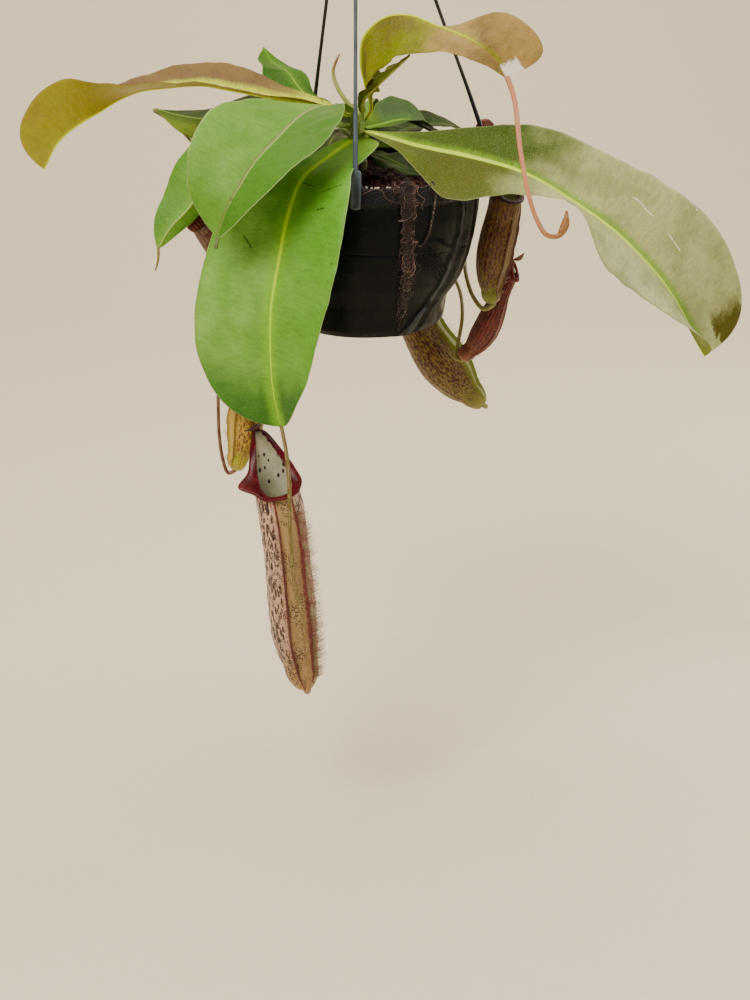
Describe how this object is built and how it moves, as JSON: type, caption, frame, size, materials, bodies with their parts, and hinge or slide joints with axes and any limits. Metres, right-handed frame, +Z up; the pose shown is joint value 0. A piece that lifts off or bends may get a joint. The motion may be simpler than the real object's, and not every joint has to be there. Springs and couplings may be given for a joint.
{
  "type": "hanging pitcher plant",
  "caption": "Hanging pot with a pitcher plant: strap leaves on a short stem, tendrils and hanging lipped pitchers.",
  "frame": {"origin": "the point at the top inside the hook's crook where the hook bears on what carries it", "axes": "+Z up, -Y toward the viewer of the picture (the side with the large front leaf and the longest pitcher), +X to the viewer's right"},
  "size_m": [0.4531, 0.2396, 0.6205],
  "materials": {
    "pot_plastic": "thin black plastic, satin with dusty streaks",
    "hanger_grey": "satin",
    "hanger_black": "satin",
    "potting_mix": "loose fibre",
    "root": "hairy fibre",
    "stem": "matte",
    "leaf_green": "satin with pale midrib",
    "leaf_dark": "satin",
    "leaf_grey": "dusty satin with pale midrib",
    "leaf_olive": "scurfy satin",
    "tendril_green": "satin",
    "tendril_red": "satin",
    "tendril_pink": "satin",
    "pitcher_mottled": "satin, cream and pink with dark dashes",
    "pitcher_red": "satin, streaked",
    "lip_burgundy": "glossy, finely ribbed",
    "lid_maroon": "satin"
  },
  "bodies": {
    "root": {"pot": "pot_plastic", "potting_mix": "potting_mix", "root_hank": "root", "root_thin": "root", "hanger_strand_front": "hanger_grey", "hanger_strand_left": "hanger_black", "hanger_strand_right": "hanger_black", "hanger_hook": "hanger_black", "stem": "stem", "leaf_front_large": "leaf_green", "leaf_front_left": "leaf_green", "leaf_left_low": "leaf_green", "leaf_left_long": "leaf_olive", "leaf_left_back": "leaf_dark", "leaf_back_raised": "leaf_green", "leaf_right_large": "leaf_grey", "leaf_top_newest": "leaf_olive", "leaf_young_spear": "leaf_green", "leaf_right_back_near": "leaf_green", "leaf_right_back_far": "leaf_dark", "leaf_under_right": "leaf_dark", "leaf_behind_front": "leaf_dark", "leaf_back": "leaf_green", "leaf_back_left": "leaf_dark", "tendril_main": "tendril_green", "tendril_second": "tendril_red", "tendril_newest": "tendril_pink", "tendril_spike": "tendril_green", "tendril_front_left": "tendril_green", "tendril_left_low": "tendril_green", "tendril_left_back": "tendril_green", "tendril_right_upper": "tendril_green", "tendril_right_red": "tendril_green", "tendril_under": "tendril_green", "tendril_right_small": "tendril_green", "pitcher_main_cup": "pitcher_mottled", "pitcher_main_lip": "lip_burgundy", "pitcher_main_lid": "lid_maroon", "pitcher_second_cup": "pitcher_mottled", "pitcher_second_lip": "lip_burgundy", "pitcher_second_lid": "lid_maroon", "pitcher_right_upper_cup": "pitcher_mottled", "pitcher_right_upper_lip": "lip_burgundy", "pitcher_right_upper_lid": "lid_maroon", "pitcher_right_red_cup": "pitcher_red", "pitcher_right_red_lip": "lip_burgundy", "pitcher_right_red_lid": "lid_maroon", "pitcher_under_cup": "pitcher_mottled", "pitcher_under_lip": "lip_burgundy", "pitcher_under_lid": "lid_maroon", "pitcher_young_left_body": "pitcher_red", "pitcher_young_left_cap": "lip_burgundy", "pitcher_young_right_body": "pitcher_red", "pitcher_young_right_cap": "lip_burgundy"}
  },
  "joints": []
}
